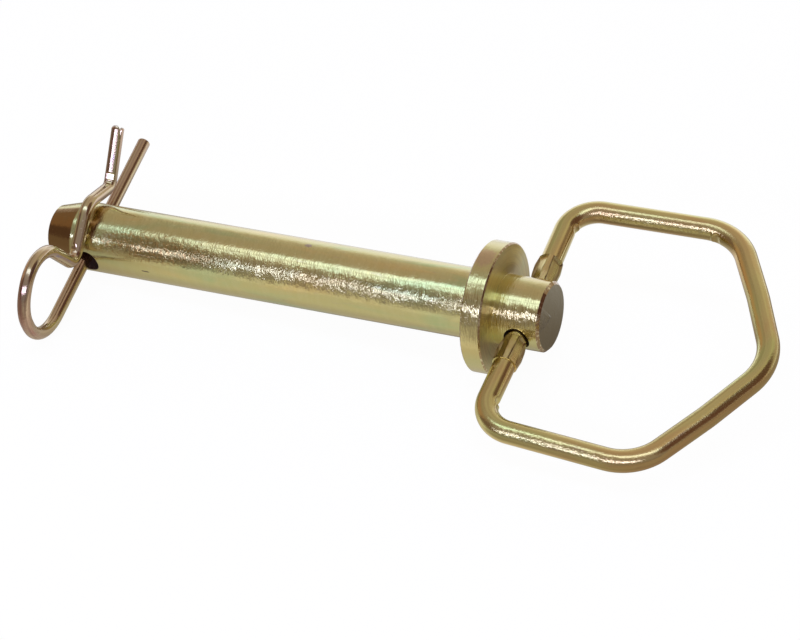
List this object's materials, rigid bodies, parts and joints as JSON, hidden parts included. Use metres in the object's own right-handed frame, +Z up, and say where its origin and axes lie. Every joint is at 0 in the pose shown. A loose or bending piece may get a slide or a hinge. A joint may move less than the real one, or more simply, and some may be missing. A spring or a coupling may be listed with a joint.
{
  "type": "hitch pin",
  "caption": "Turned steel hitch pin with a collar, a bent-wire handle that swings in its head and a spring clip through its nose.",
  "frame": {"origin": "centre of the object's box, on the ground that the pin lies on", "axes": "+X along the pin from its tapered nose to its handle, +Z up, +Y across, towards the side where the clip's two free ends point"},
  "size_m": [0.2786, 0.1202, 0.0477],
  "materials": {
    "pin_plating": "yellow zinc chromate over fine turning marks",
    "handle_plating": "yellow zinc chromate over drawn wire",
    "clip_plating": "bronze yellow zinc chromate over spring wire"
  },
  "bodies": {
    "pin": {"pin": "pin_plating"},
    "handle": {"handle": "handle_plating"},
    "clip": {"hairpin_clip": "clip_plating"}
  },
  "joints": [
    {"name": "handle_swing", "type": "hinge", "parent": "pin", "child": "handle", "pos_m": [0.04949, 0.00126, 0.02473], "axis": [-0.0146, 0.9766, 0.2146], "range_deg": [-172, 163]},
    {"name": "clip_pull", "type": "slide", "parent": "pin", "child": "clip", "axis": [0.0406, -0.9604, -0.2755], "range_m": [0, 0.06], "deforming": ["hairpin_clip"]}
  ]
}
